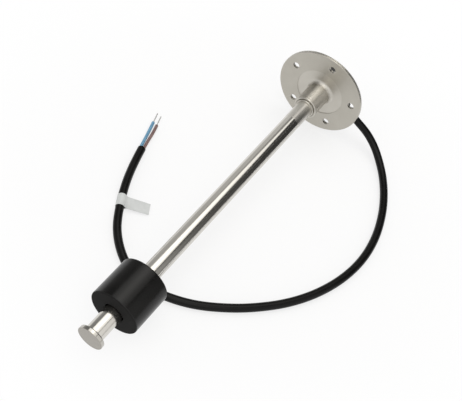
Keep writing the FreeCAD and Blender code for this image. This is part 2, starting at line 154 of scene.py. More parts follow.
class Patterns:
    """Patterns over a piece, each a number from 0 to 1, in the metres of the piece's own frame."""

    def __init__(self, tree):
        self.tree = tree
        coordinates = add_node(tree, "ShaderNodeTexCoord", {})
        self.place = coordinates.outputs["Object"]
        self.facing = coordinates.outputs["Normal"]

    def specks(self, size, detail=3.0):
        """Noise with specks of the given size along x, y and z."""
        scale = [1 / length for length in size]
        fit = add_node(self.tree, "ShaderNodeMapping", {"Vector": self.place, "Scale": scale})
        noise = add_node(self.tree, "ShaderNodeTexNoise", {
            "Vector": fit.outputs["Vector"], "Scale": 1.0, "Detail": detail,
        })
        return noise.outputs[0]

    def rings(self, spacing, wander):
        """Rings round the x axis, as a cutting tool leaves them on a turned face."""
        wave = add_node(self.tree, "ShaderNodeTexWave", {
            "Vector": self.place, "Scale": METRE_WAVE / spacing, "Distortion": wander, "Detail Scale": 2.0,
        }, wave_type="RINGS", rings_direction="X")
        return wave.outputs["Fac"]

    def grooves(self, spacing):
        """Grooves side by side along the x axis, as a cutting tool leaves them on a turned cylinder."""
        wave = add_node(self.tree, "ShaderNodeTexWave", {
            "Vector": self.place, "Scale": METRE_WAVE / spacing, "Distortion": 0.5,
        }, wave_type="BANDS", bands_direction="X")
        return wave.outputs["Fac"]

    def end_faces(self):
        """1 on faces that look along the x axis, 0 on faces that go round it."""
        along = add_node(
            self.tree, "ShaderNodeVectorMath", {0: self.facing, 1: (1, 0, 0)}, operation="DOT_PRODUCT")
        either_way = add_node(
            self.tree, "ShaderNodeMath", {0: along.outputs["Value"]}, operation="ABSOLUTE")
        return either_way.outputs[0]

    def past(self, spot):
        """1 beyond a spot on the x axis, 0 before it."""
        axes = add_node(self.tree, "ShaderNodeSeparateXYZ", {0: self.place})
        beyond = add_node(
            self.tree, "ShaderNodeMath", {0: axes.outputs["X"], 1: spot}, operation="GREATER_THAN")
        return beyond.outputs[0]

    def near_axis(self, radius):
        """1 closer to the x axis than the given radius, 0 further out."""
        flat = add_node(self.tree, "ShaderNodeMapping", {"Vector": self.place, "Scale": (0, 1, 1)})
        distance = add_node(
            self.tree, "ShaderNodeVectorMath", {0: flat.outputs["Vector"]}, operation="LENGTH")
        inside = add_node(
            self.tree, "ShaderNodeMath", {0: distance.outputs["Value"], 1: radius}, operation="LESS_THAN")
        return inside.outputs[0]

    def mixed(self, pattern, other, share):
        """Two patterns in one, with the given share of the second."""
        mix = add_node(self.tree, "ShaderNodeMix", {"Factor": share, "A": pattern, "B": other})
        return mix.outputs["Result"]


print("patterns:", [name for name in vars(Patterns) if not name.startswith("_")])

# %% A helper for finishes
class Finish(Patterns):
    """A procedural material: one Principled shader and the patterns that drive it."""

    def __init__(self, name, constants):
        self.material, tree = new_material(name)
        super().__init__(tree)
        self.shader = tree.nodes["Principled BSDF"]
        self.relief = None
        for socket, value in constants.items():
            self.shader.inputs[socket].default_value = value

    def colour(self, pattern, dark, light, low=0.35, high=0.65):
        """The pattern's dark and light places get these two colours."""
        ramp = add_node(self.tree, "ShaderNodeValToRGB", {"Fac": pattern})
        for stop, spot, tone in zip(ramp.color_ramp.elements, (low, high), (dark, light)):
            stop.position = spot
            stop.color = (*tone, 1)
        self.tree.links.new(ramp.outputs["Color"], self.shader.inputs["Base Color"])
        return self

    def spread(self, socket, pattern, low, high, start=0.3, stop=0.7):
        """A number on the shader follows the pattern between two values."""
        span = add_node(self.tree, "ShaderNodeMapRange", {
            "Value": pattern, "From Min": start, "From Max": stop, "To Min": low, "To Max": high,
        })
        self.tree.links.new(span.outputs["Result"], self.shader.inputs[socket])
        return self

    def bump(self, pattern, depth):
        """The pattern becomes a relief of the given depth, on top of any relief before it."""
        bump = add_node(self.tree, "ShaderNodeBump", {"Height": pattern, "Strength": 1.0, "Distance": depth})
        if self.relief:
            self.tree.links.new(self.relief, bump.inputs["Normal"])
        self.relief = bump.outputs["Normal"]
        self.tree.links.new(self.relief, self.shader.inputs["Normal"])
        return self


print("a finish sets:", [name for name in vars(Finish) if not name.startswith("_")])

# %% [markdown]
# ## The steel finishes
#
# The flange is stainless steel that was turned and then blasted with fine beads: a soft, slightly warm grey
# that spreads any light into a broad glow. Grooves from the tool still run round the hub under the blasting
# and stretch its highlight along it. Inside the radius of the recess, the hub included, the colour is a
# little lighter than on the ring outside. The stem is drawn tube, polished lengthwise, so that it shows long
# clean reflections with hair lines along its length. Only a short stretch below the hub stayed dull. The plug
# was faced on a lathe, which leaves fine rings and a rougher face than its rim; the face's darker colour is
# painted shade, for the shaded table that it reflects. All three are the same metal, so only the tone, the
# roughness and the direction of the relief differ. An image of scratched steel would do as well on one size
# of part, but specks given in metres fit a part of any size.

# %% The steel finishes
RECESS_RADIUS = 19.3 * MM
DULL_ENDS = 41.6 * MM


def blasted_steel():
    finish = Finish("blasted_steel", {"Metallic": 1.0})
    beads = finish.specks(even(0.22 * MM), detail=2)
    patches = finish.specks(even(11 * MM), detail=4)
    # Inside the recess's radius, the hub included, the colour is a little lighter than outside.
    toned = finish.mixed(patches, finish.near_axis(RECESS_RADIUS), 0.5)
    finish.colour(toned, (0.490, 0.468, 0.418), (0.572, 0.548, 0.497), 0.2, 0.8)
    plate = finish.mixed(finish.end_faces(), finish.specks(even(4 * MM)), 0.35)
    finish.spread("Roughness", plate, 0.20, 0.43, 0.1, 0.9)
    finish.bump(finish.grooves(0.30 * MM), 0.040 * MM)
    return finish.bump(beads, 0.008 * MM)


def drawn_steel():
    finish = Finish("drawn_steel", {"Metallic": 1.0})
    hairs = finish.specks((40 * MM, 0.16 * MM, 0.16 * MM), detail=2)
    smears = finish.specks((60 * MM, 2.5 * MM, 2.5 * MM))
    finish.colour(smears, (0.625, 0.605, 0.562), (0.685, 0.665, 0.622))
    dull = finish.mixed(smears, finish.past(-DULL_ENDS), 0.5)
    finish.spread("Roughness", dull, 0.10, 0.37, 0.15, 0.85)
    return finish.bump(hairs, 0.0012 * MM)


def faced_steel():
    finish = Finish("faced_steel", {"Metallic": 1.0})
    cuts = finish.rings(0.28 * MM, wander=0.6)
    haze = finish.specks(even(3 * MM))
    # The end faces get a darker colour than the rim. The rings and the higher roughness are the real faced
    # surface; the darker colour is painted shade, for the shaded table that the face reflects.
    face = finish.mixed(finish.end_faces(), haze, 0.2)
    finish.colour(face, (0.520, 0.503, 0.466), (0.345, 0.326, 0.290), 0.1, 0.9)
    finish.spread("Roughness", face, 0.10, 0.26, 0.1, 0.9)
    finish.bump(finish.specks(even(0.3 * MM)), 0.001 * MM)
    return finish.bump(cuts, 0.002 * MM)


flange_finish = blasted_steel()
stem_finish = drawn_steel()
plug_finish = faced_steel()
print("steel finishes:", [finish.material.name for finish in (flange_finish, stem_finish, plug_finish)])

# %% [markdown]
# ## The rubber finishes
#
# The float is closed-cell foam rubber: nearly black, with a faint warm bloom and tiny pores. Its side is a
# satin skin, and its ends were cut, so they are rougher and hardly shine. The boot behind the flange is
# moulded rubber, greyer and dusty. Blacks look dead when they are pure black, so both keep a little grey
# and let their roughness wander.

# %% The rubber finishes
def foam_rubber():
    finish = Finish("foam_rubber", {"Specular IOR Level": 0.26})
    pores = finish.specks(even(0.35 * MM), detail=4)
    bloom = finish.specks(even(7 * MM), detail=4)
    finish.colour(bloom, (0.0022, 0.0020, 0.0017), (0.0042, 0.0039, 0.0034))
    cut_face = finish.mixed(finish.end_faces(), bloom, 0.2)
    finish.spread("Roughness", cut_face, 0.20, 0.88, 0.06, 0.94)
    finish.bump(bloom, 0.02 * MM)
    return finish.bump(pores, 0.012 * MM)


def moulded_rubber():
    finish = Finish("moulded_rubber", {"Specular IOR Level": 0.4})
    skin = finish.specks(even(0.4 * MM))
    dust = finish.specks(even(5 * MM), detail=5)
    finish.colour(dust, (0.034, 0.034, 0.033), (0.056, 0.056, 0.054))
    finish.spread("Roughness", dust, 0.48, 0.62)
    return finish.bump(skin, 0.012 * MM)


float_finish = foam_rubber()
boot_finish = moulded_rubber()
print("rubber finishes:", [finish.material.name for finish in (float_finish, boot_finish)])

# %% [markdown]
# ## The finishes of the cable and what is on it
#
# The cable jacket is extruded PVC, a little shinier than rubber, with marks from handling. The label is matt
# white film with a fine grain. The two cores have coloured insulation, and their bare strands are tinned,
# which dulls the copper to a soft grey metal. One recipe makes both cores, because only the colour differs.

# %% The finishes of the cable and what is on it
def jacket_plastic():
    finish = Finish("jacket_plastic", {"Specular IOR Level": 0.17})
    skin = finish.specks(even(0.5 * MM))
    handling = finish.specks(even(8 * MM), detail=4)
    finish.colour(handling, (0.0027, 0.0027, 0.0025), (0.0046, 0.0046, 0.0043))
    finish.spread("Roughness", handling, 0.26, 0.36)
    return finish.bump(skin, 0.010 * MM)


def label_film():
    finish = Finish("label_film", {"Specular IOR Level": 0.35})
    fibre = finish.specks(even(0.6 * MM), detail=4)
    clouds = finish.specks(even(6 * MM))
    finish.colour(clouds, (0.60, 0.615, 0.605), (0.67, 0.685, 0.675))
    finish.spread("Roughness", fibre, 0.50, 0.62)
    return finish.bump(fibre, 0.008 * MM)


def core_plastic(name, dark, light):
    finish = Finish(name, {"Specular IOR Level": 0.5})
    marks = finish.specks((3 * MM, 3 * MM, 1.2 * MM), detail=4)
    finish.colour(marks, dark, light)
    finish.spread("Roughness", marks, 0.30, 0.42)
    return finish.bump(finish.specks(even(0.3 * MM)), 0.006 * MM)


def tinned_wire():
    finish = Finish("tinned_wire", {"Metallic": 1.0})
    tin = finish.specks(even(0.5 * MM), detail=4)
    finish.colour(tin, (0.74, 0.735, 0.725), (0.88, 0.875, 0.865))
    finish.spread("Roughness", tin, 0.22, 0.34)
    return finish.bump(tin, 0.01 * MM)


jacket_finish = jacket_plastic()
label_finish = label_film()
blue_finish = core_plastic("blue_core", (0.118, 0.285, 0.440), (0.170, 0.368, 0.525))
brown_finish = core_plastic("brown_core", (0.176, 0.104, 0.096), (0.238, 0.146, 0.135))
wire_finish = tinned_wire()
print("cable finishes:", jacket_finish.material.name, label_finish.material.name, wire_finish.material.name)

# %% [markdown]
# ## Dressing a piece
#
# A new piece needs more than a shape. It gets its finish, the body that it moves with and the solids that it
# stands for, which are then hidden. The same lines for every piece would do, but one function for all of them
# leaves nothing out.

# %% Dressing a piece
def dress(piece, finish, body, slot, *stands_for):
    """Give a piece its finish, the body that it moves with and the solids that it stands for."""
    piece.data.materials.append(finish.material)
    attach(piece, body)
    if stands_for:
        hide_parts(*stands_for)


# %% [markdown]
# ## The cable
#
# The cable leaves a moulded elbow behind the flange, falls to the table, sweeps round in one wide loop,
# passes under the stem beside the float and ends in the open. It is a fixed length of something springy, so
# its line has no corners: a NURBS curve of order three runs smoothly inside a given list of points, and
# a round bevel gives it its thickness. A mesh tube would look the same, but a curve keeps the points easy to
# move.

# %% The cable's route
CABLE = 6.0 * MM
NECK_AXIS = 9.5 * MM
NECK_REACH = 24.0 * MM
NECK_DROP = math.radians(25)
EXIT_RUN = 12.0 * MM
EXIT_TUCK = 3.0 * MM

neck_way = Vector((0, -math.cos(NECK_DROP), -math.sin(NECK_DROP)))
neck_foot = Vector((PLATE + NECK_AXIS, 0, 0))
CABLE_ROUTE = [
    stem_place @ (neck_foot + neck_way * (NECK_REACH - EXIT_TUCK)),
    stem_place @ (neck_foot + neck_way * (NECK_REACH + EXIT_RUN)),
    Vector((0.1376, -0.0446, 0.0142)),
    Vector((0.1352, -0.0556, 0.0086)),
    Vector((0.1286, -0.0655, 0.0046)),
    Vector((0.1183, -0.0750, 0.0030)),
    Vector((0.1030, -0.0843, 0.0030)),
    Vector((0.0852, -0.0921, 0.0030)),
    Vector((0.0632, -0.0982, 0.0030)),
    Vector((0.0392, -0.1001, 0.0030)),
    Vector((0.0150, -0.0967, 0.0030)),
    Vector((-0.0085, -0.0885, 0.0030)),
    Vector((-0.0295, -0.0764, 0.0030)),
    Vector((-0.0476, -0.0610, 0.0030)),
    Vector((-0.0598, -0.0477, 0.0030)),
    Vector((-0.0714, -0.0319, 0.0030)),
    Vector((-0.0785, -0.0168, 0.0030)),
    Vector((-0.0826, -0.0020, 0.0030)),
    Vector((-0.0818, 0.0135, 0.0030)),
    Vector((-0.0746, 0.0281, 0.0030)),
    Vector((-0.0645, 0.0402, 0.0030)),
    Vector((-0.0532, 0.0490, 0.0034)),
    Vector((-0.0301, 0.0617, 0.0034)),
    Vector((-0.0097, 0.0697, 0.0030)),
    Vector((0.0055, 0.0742, 0.0030)),
]

# %% The cable's curve
END_RING = 1.5 * MM


def round_curve(name, thickness, roundness):
    """An empty curve whose lines get a round section and closed ends."""
    curve = bpy.data.curves.new(name, "CURVE")
    curve.dimensions = "3D"
    curve.bevel_depth = thickness / 2
    curve.bevel_resolution = roundness
    curve.use_fill_caps = True
    return curve


def add_line(curve, kind, points):
    """Add a line of the given kind with these points to a curve."""
    spline = curve.splines.new(kind)
    spline.points.add(len(points) - 1)
    for control, spot in zip(spline.points, points):
        control.co = (*spot, 1)
    return spline


def smooth_cord(name, points, thickness):
    """A round cord whose line runs smoothly along the points."""
    curve = round_curve(name, thickness, 7)
    spline = add_line(curve, "NURBS", points)
    spline.order_u = 3
    spline.use_endpoint_u = True
    spline.resolution_u = 12
    return put_in_scene(name, curve)


jacket_end = CABLE_ROUTE[-1]
end_way = (jacket_end - CABLE_ROUTE[-2]).normalized()
cable = smooth_cord("cable", CABLE_ROUTE[:-1] + [jacket_end - end_way * END_RING], CABLE)
dress(cable, jacket_finish, "sender", "cable_black", "cable_jacket")
print("cable line:", round(cable.data.splines[0].calc_length(), 4), "m")

# %% [markdown]
# ## Turned pieces
#
# Flange, stem, plug and float all came off a lathe or out of a round mould. Each is described by half of
# its section: corners given as a place along the axis, a radius and how far the corner is rounded. One
# helper draws an arc in each rounded corner, and another spins the line round the x axis. The Screw modifier
# does the same, but points on the axis would have to be merged afterwards.

# %% A helper for rounded corners
ARC_STEPS = 8


def rounded(corners):
    """Corners as (along, radius, rounding) become points, with an arc in each rounded corner."""
    line = []
    for index, (along, radius, rounding) in enumerate(corners):
        corner = Vector((along, radius))
        if rounding == 0:
            line.append(corner)
            continue
        back = (Vector(corners[index - 1][:2]) - corner).normalized()
        ahead = (Vector(corners[(index + 1) % len(corners)][:2]) - corner).normalized()
        half = back.angle(ahead) / 2
        centre = corner + (back + ahead).normalized() * (rounding / math.sin(half))
        first = (corner + back * (rounding / math.tan(half)) - centre).normalized()
        last = (corner + ahead * (rounding / math.tan(half)) - centre).normalized()
        steps = [step / ARC_STEPS for step in range(ARC_STEPS + 1)]
        line += [centre + first.slerp(last, share) * rounding for share in steps]
    return line


print("a rounded corner has", ARC_STEPS + 1, "points")

# %% A helper for turned pieces
SHARP = math.radians(35)
ON_AXIS = 1e-7


def shade(mesh):
    """Smooth faces, with a sharp edge wherever two faces meet at a clear angle."""
    model = bmesh.new()
    model.from_mesh(mesh)
    for face in model.faces:
        face.smooth = True
    for edge in model.edges:
        edge.smooth = edge.calc_face_angle(0) < SHARP
    model.to_mesh(mesh)
    model.free()


def mesh_of(model, name):
    """A mesh with what was modelled so far."""
    mesh = bpy.data.meshes.new(name)
    model.to_mesh(mesh)
    model.free()
    return mesh


def turned(name, corners, place, steps=128):
    """Spin half of a section round the x axis into a closed mesh, and put it in its place."""
    model = bmesh.new()
    angles = [math.tau * step / steps for step in range(steps)]
    rings = []
    for along, radius in rounded(corners):
        if radius < ON_AXIS:
            rings.append([model.verts.new((along, 0, 0))] * steps)
            continue
        spots = [(along, radius * math.cos(angle), radius * math.sin(angle)) for angle in angles]
        rings.append([model.verts.new(spot) for spot in spots])
    for ring, following in zip(rings, rings[1:] + rings[:1]):
        for step in range(steps):
            after = (step + 1) % steps
            loop = dict.fromkeys((ring[step], ring[after], following[after], following[step]))
            if len(loop) > 2:
                model.faces.new(loop)
    bmesh.ops.recalc_face_normals(model, faces=model.faces)
    mesh = mesh_of(model, name)
    shade(mesh)
    piece = put_in_scene(name, mesh)
    piece.matrix_world = place
    return piece


print("edges over", round(math.degrees(SHARP)), "degrees stay sharp")

# %% [markdown]
# ## The mounting flange
#
# The flange is one turned piece: a flat plate with a shallow recess, and a hub whose foot flows into the
# plate in a wide fillet. At its mouth a narrow collar stands out round the stem behind a fine groove, which
# draws a double ring with a dark line in it. Five bolt holes go through the plate. They are cut with a
# Boolean, because their edges are bevelled a little on both sides and one spool-shaped cutter makes hole and
# bevels together. Broad flat faces next to small rounded edges shade badly with plain smooth normals, so a
# Weighted Normal modifier lets the large faces decide.

# %% The mounting flange
FLANGE_RADIUS = 35.0 * MM
STEM_RADIUS = 6.35 * MM
FIT = 0.05 * MM
HUB_RADIUS = 9.1 * MM
HUB_LENGTH = 21.3 * MM
HUB_EDGE = 0.5 * MM
HUB_FILLET = 3.0 * MM
COLLAR_RADIUS = 7.5 * MM
COLLAR_LENGTH = 1.2 * MM
COLLAR_GROOVE = 0.5 * MM
COLLAR_GROOVE_DEPTH = 1.2 * MM
RECESS_DEPTH = 0.5 * MM
RECESS_FILLET = 0.15 * MM
RECESS_EDGE = 0.12 * MM
RIM_EDGE = 0.4 * MM
FINE_EDGE = 0.1 * MM

collar_end = -HUB_LENGTH - COLLAR_LENGTH
groove_foot = -HUB_LENGTH + COLLAR_GROOVE_DEPTH
flange = turned("flange", [
    (collar_end, STEM_RADIUS + FIT, FINE_EDGE),
    (collar_end, COLLAR_RADIUS, RIM_EDGE),
    (groove_foot, COLLAR_RADIUS, 0),
    (groove_foot, COLLAR_RADIUS + COLLAR_GROOVE, 0),
    (-HUB_LENGTH, COLLAR_RADIUS + COLLAR_GROOVE, FINE_EDGE),
    (-HUB_LENGTH, HUB_RADIUS, HUB_EDGE),
    (RECESS_DEPTH, HUB_RADIUS, HUB_FILLET),
    (RECESS_DEPTH, RECESS_RADIUS, RECESS_FILLET),
    (0, RECESS_RADIUS, RECESS_EDGE),
    (0, FLANGE_RADIUS, RIM_EDGE),
    (PLATE, FLANGE_RADIUS, RIM_EDGE),
    (PLATE, STEM_RADIUS + FIT, 0),
], stem_place, steps=192)
print("flange:", len(flange.data.polygons), "faces before drilling")

# %% Helpers for cutting, joining and even light
def settle(piece):
    """Replace a piece's mesh by what its modifiers make of it."""
    bpy.context.view_layer.update()
    seen = piece.evaluated_get(bpy.context.evaluated_depsgraph_get())
    mesh = bpy.data.meshes.new_from_object(seen)
    piece.modifiers.clear()
    piece.data = mesh
    shade(mesh)


def combine(piece, tool, operation):
    """Join a tool to a piece or cut it away, and keep only the result."""
    change = piece.modifiers.new("change", "BOOLEAN")
    change.operation = operation
    change.solver = "EXACT"
    change.object = tool
    settle(piece)
    bpy.data.objects.remove(tool)


def even_light(piece):
    """Let the large faces decide how the edges beside them are lit."""
    weights = piece.modifiers.new("even_light", "WEIGHTED_NORMAL")
    weights.keep_sharp = True


print("ready to cut:", flange.name, "with", len(flange.data.vertices), "points")

# %% The bolt holes
HOLE_TURN = math.radians(22.8)
HOLE_BEVEL = 0.12 * MM
CUTTER_PAST = 1.0 * MM

hole_count = bolt_circle["dims"]["count"]
hole_radius = bolt_circle["dims"]["hole_r_mm"] * MM
hole_circle = bolt_circle["dims"]["pcd_mm"] / 2 * MM
flare = hole_radius + HOLE_BEVEL + CUTTER_PAST
for number in range(hole_count):
    angle = HOLE_TURN + math.tau * number / hole_count
    spot = Vector((0, math.cos(angle), math.sin(angle))) * hole_circle
    cutter = turned("cutter", [
        (-CUTTER_PAST, 0, 0), (-CUTTER_PAST, flare, 0), (HOLE_BEVEL, hole_radius, 0),
        (PLATE - HOLE_BEVEL, hole_radius, 0), (PLATE + CUTTER_PAST, flare, 0), (PLATE + CUTTER_PAST, 0, 0),
    ], stem_place @ Matrix.Translation(spot), steps=48)
    combine(flange, cutter, "DIFFERENCE")
even_light(flange)
dress(flange, flange_finish, "sender", "flange_steel", "mounting_flange")
print("flange:", len(flange.data.polygons), "faces with", hole_count, "holes")

# %% [markdown]
# ## Stem and plug
#
# The stem is a thin tube that runs from the plug at its lower end through the hub, and the plug's round head
# stops the float from falling off. Plain cylinders would look like toys here: it is the small rounded edges
# that catch the light and the fine dark lines where pieces meet that make them read as metal.

# %% Stem and plug
STEM_WALL = 0.8 * MM
STEM_REACH = 263.0 * MM
STEM_ABOVE = 6.0 * MM
STEM_EDGE = 0.15 * MM
PLUG_RADIUS = 9.0 * MM
PLUG_HEAD = 3.0 * MM
PLUG_EDGE = 0.4 * MM
PLUG_BACK = 0.75 * MM
SPIGOT = 8.0 * MM
SPIGOT_EDGE = 0.3 * MM

plug_top = -STEM_REACH
stem_top = PLATE + STEM_ABOVE
stem_bore = STEM_RADIUS - STEM_WALL
stem = turned("stem", [
    (plug_top, stem_bore, FINE_EDGE), (plug_top, STEM_RADIUS, STEM_EDGE),
    (stem_top, STEM_RADIUS, STEM_EDGE), (stem_top, stem_bore, FINE_EDGE),
], stem_place)
plug = turned("plug", [
    (plug_top - PLUG_HEAD, 0, 0), (plug_top - PLUG_HEAD, PLUG_RADIUS, PLUG_EDGE),
    (plug_top, PLUG_RADIUS, PLUG_BACK), (plug_top, stem_bore - FIT, 0),
    (plug_top + SPIGOT, stem_bore - FIT, SPIGOT_EDGE), (plug_top + SPIGOT, 0, 0),
], stem_place)
for piece, finish, node in ((stem, stem_finish, "stem_tube"), (plug, plug_finish, "end_plug")):
    even_light(piece)
    dress(piece, finish, "sender", "polished_steel", node)
    print(piece.name, len(piece.data.polygons), "faces")

# %% [markdown]
# ## The float
#
# The float is a thick ring of foam rubber. Its outer edges are rounded off, both ends of its bore have a
# bevel, and a groove inside holds the magnet. A bevelled cylinder would look the same from outside, but the
# magnet needs its groove. The float slides, so it rides on a body of its own, and everything on it goes
# along when that body moves.

# %% The float
FLOAT_RADIUS = 17.5 * MM
FLOAT_LENGTH = 30.7 * MM
FLOAT_REST = 18.7 * MM
FLOAT_EDGE = 1.0 * MM
FLOAT_BORE = 7.0 * MM
FLOAT_BEVEL = 0.7 * MM
BEVEL_EDGE = 0.2 * MM
GROOVE_RADIUS = 13.1 * MM
GROOVE_HALF = 3.1 * MM

float_foot = plug_top + FLOAT_REST
float_top = float_foot + FLOAT_LENGTH
float_middle = (float_foot + float_top) / 2
rubber_float = turned("rubber_float", [
    (float_foot + FLOAT_BEVEL, FLOAT_BORE, BEVEL_EDGE),
    (float_foot, FLOAT_BORE + FLOAT_BEVEL, BEVEL_EDGE),
    (float_foot, FLOAT_RADIUS, FLOAT_EDGE),
    (float_top, FLOAT_RADIUS, FLOAT_EDGE),
    (float_top, FLOAT_BORE + FLOAT_BEVEL, BEVEL_EDGE),
    (float_top - FLOAT_BEVEL, FLOAT_BORE, BEVEL_EDGE),
    (float_middle + GROOVE_HALF, FLOAT_BORE, 0),
    (float_middle + GROOVE_HALF, GROOVE_RADIUS, 0),
    (float_middle - GROOVE_HALF, GROOVE_RADIUS, 0),
    (float_middle - GROOVE_HALF, FLOAT_BORE, 0),
], stem_place, steps=160)
even_light(rubber_float)
dress(rubber_float, float_finish, "float", "float_rubber", "float_body")
print("float:", len(rubber_float.data.polygons), "faces")

# %% [markdown]
# ## The cable boot
#
# Behind the flange, a moulded rubber elbow covers the end of the stem and turns the cable sideways. Its
# barrel and its ribbed neck are two turned shapes that flow into each other, as they do in a mould. A Boolean
# union leaves a knife-sharp seam between them, so the joined shape is remeshed into small even faces and
# smoothed a little, which melts the seam into a soft fillet.

# %% The boot's neck
NECK_ROOT = 6.0 * MM
NECK_TIP = 4.4 * MM
NECK_EDGE = 0.5 * MM
NECK_BORE = CABLE / 2 + 2 * FIT
RIB_RADIUS = 6.0 * MM
RIB_WIDTH = 1.4 * MM
RIB_PITCH = 3.2 * MM
RIB_EDGE = 0.35 * MM
RIB_COUNT = 3


def neck_radius(reach):
    """Radius of the tapered neck between its ribs."""
    return NECK_ROOT + (NECK_TIP - NECK_ROOT) * reach / NECK_REACH


neck_outline = [(0, 0, 0), (0, NECK_ROOT, 0)]
for number in range(RIB_COUNT, 0, -1):
    rib = NECK_REACH - RIB_PITCH * number
    neck_outline += [
        (rib, neck_radius(rib), 0), (rib, RIB_RADIUS, RIB_EDGE),
        (rib + RIB_WIDTH, RIB_RADIUS, RIB_EDGE), (rib + RIB_WIDTH, neck_radius(rib + RIB_WIDTH), 0),
    ]
neck_outline += [
    (NECK_REACH, NECK_TIP, NECK_EDGE), (NECK_REACH, NECK_BORE, BEVEL_EDGE),
    (NECK_REACH - 2 * EXIT_TUCK, NECK_BORE, 0), (NECK_REACH - 2 * EXIT_TUCK, 0, 0),
]
neck_turn = neck_way.to_track_quat("X", "Z").to_matrix().to_4x4()
neck = turned("neck", neck_outline, stem_place @ Matrix.Translation(neck_foot) @ neck_turn, steps=96)
print("neck:", len(neck.data.polygons), "faces,", RIB_COUNT, "ribs")

# %% The boot
BOOT_RADIUS = 14.0 * MM
BOOT_HEIGHT = 17.0 * MM
BOOT_FOOT_EDGE = 0.3 * MM
BOOT_TOP_EDGE = 3.0 * MM
BOOT_VOXEL = 0.25 * MM
MELT_SHARE = 0.5
MELT_ROUNDS = 4

boot = turned("boot", [
    (PLATE, STEM_RADIUS + FIT, 0), (PLATE, BOOT_RADIUS, BOOT_FOOT_EDGE),
    (PLATE + BOOT_HEIGHT, BOOT_RADIUS, BOOT_TOP_EDGE), (PLATE + BOOT_HEIGHT, 0, 0),
    (stem_top, 0, 0), (stem_top, STEM_RADIUS + FIT, 0),
], stem_place)
combine(boot, neck, "UNION")
remesh = boot.modifiers.new("remesh", "REMESH")
remesh.mode = "VOXEL"
remesh.voxel_size = BOOT_VOXEL
melt = boot.modifiers.new("melt", "SMOOTH")
melt.factor = MELT_SHARE
melt.iterations = MELT_ROUNDS
settle(boot)
dress(boot, boot_finish, "sender", "boot_rubber", "cable_boot")
print("boot:", len(boot.data.polygons), "faces")

# %% [markdown]
# ## The label
#
# A strip of white film is folded round the cable and stuck to itself, so that a small flag stands out to one
# side. Its section is a single line: along the flag, over the cable, back underneath and out again. That
# line, pushed along the cable, is a sheet, and a Solidify modifier gives the film its thickness. A folded
# plane with a bend modifier could do it too, but then the creases are hard to place. The flag is left bare.
# It droops and waves a little, because film never lies quite flat.

# %% The label's section
FILM = 0.12 * MM
FLAG_END = 20.4 * MM
FLAG_DROOP = math.tan(math.radians(8.5))
FLAG_GAP = 0.065 * MM
FLAG_STEPS = 14
WRAP_GAP = 0.1 * MM
WRAP_RADIUS = CABLE / 2 + WRAP_GAP + FILM / 2
WRAP_OPENS = math.radians(30)
WRAP_CLOSES = math.radians(320)
WRAP_STEPS = 40
CREASE_REACH = 5.2 * MM
CREASE_STEPS = 6


def flag_line(out, layer):
    """Height of one layer of the flag, at a distance from the cable's axis."""
    return (WRAP_RADIUS - out) * FLAG_DROOP + layer * FLAG_GAP


def wrap_point(angle):
    """A point of the film where it is wrapped round the cable."""
    return Vector((math.cos(angle), math.sin(angle))) * WRAP_RADIUS


def crease(angle, turn, layer):
    """Points of the bend between the wrap and a layer of the flag."""
    on_wrap = wrap_point(angle)
    tangent = Vector((math.sin(angle), -math.cos(angle))) * turn
    height = on_wrap.y - flag_line(on_wrap.x, layer)
    meeting = on_wrap - tangent * (height / (tangent.y + tangent.x * FLAG_DROOP))
    on_flag = Vector((CREASE_REACH, flag_line(CREASE_REACH, layer)))
    bend = []
    for step in range(1, CREASE_STEPS):
        share = step / CREASE_STEPS
        bend.append(on_wrap.lerp(meeting, share).lerp(meeting.lerp(on_flag, share), share))
    return bend


def flag_layer(layer):
    """Points of one layer of the flag, from the crease to the free end."""
    span = FLAG_END - CREASE_REACH
    outs = [CREASE_REACH + span * step / FLAG_STEPS for step in range(FLAG_STEPS + 1)]
    return [Vector((out, flag_line(out, layer))) for out in outs]


sweep = WRAP_CLOSES - WRAP_OPENS
wrap = [wrap_point(WRAP_OPENS + sweep * step / WRAP_STEPS) for step in range(WRAP_STEPS + 1)]
label_section = (
    flag_layer(1)[::-1] + crease(WRAP_OPENS, 1, 1)[::-1] + wrap
    + crease(WRAP_CLOSES, -1, -1) + flag_layer(-1)
)
print("label section:", len(label_section), "points")

# %% The label's sheet
LABEL_RUN = 21
LABEL_WIDTH = 9.6 * MM
LABEL_COLUMNS = 16
FLAG_WAVE = 0.35 * MM
WAVE_EVEN = 0.4
WAVE_TWIST = 0.6

label_start, label_stop = CABLE_ROUTE[LABEL_RUN], CABLE_ROUTE[LABEL_RUN + 1]
label_way = (label_stop - label_start).normalized()
label_side = label_way.cross(Vector((0, 0, 1))).normalized()
label_up = label_side.cross(label_way)
label_middle = (label_start + label_stop) / 2


def flag_wave(out, share):
    """How far the flag lifts off its straight line: most at the free end, and more at one corner."""
    along_flag = max(0.0, (out - CREASE_REACH) / (FLAG_END - CREASE_REACH))
    return FLAG_WAVE * along_flag ** 2 * (WAVE_EVEN + WAVE_TWIST * math.cos(math.pi * share))


model = bmesh.new()
columns = []
for column in range(LABEL_COLUMNS + 1):
    share = column / LABEL_COLUMNS
    foot = label_middle + label_way * (LABEL_WIDTH * (share - 0.5))
    columns.append([
        model.verts.new(foot + label_side * out + label_up * (height + flag_wave(out, share)))
        for out, height in label_section
    ])
for column, following in zip(columns, columns[1:]):
    for row in range(len(label_section) - 1):
        model.faces.new((column[row], column[row + 1], following[row + 1], following[row]))
label = put_in_scene("label", mesh_of(model, "label"))
film = label.modifiers.new("film", "SOLIDIFY")
film.thickness = FILM
film.offset = 0
settle(label)
dress(label, label_finish, "sender", "label_white", "cable_label")
lowest = min(corner.co.z for corner in label.data.vertices)
print("label:", len(label.data.polygons), "faces, lowest point", round(lowest, 5))

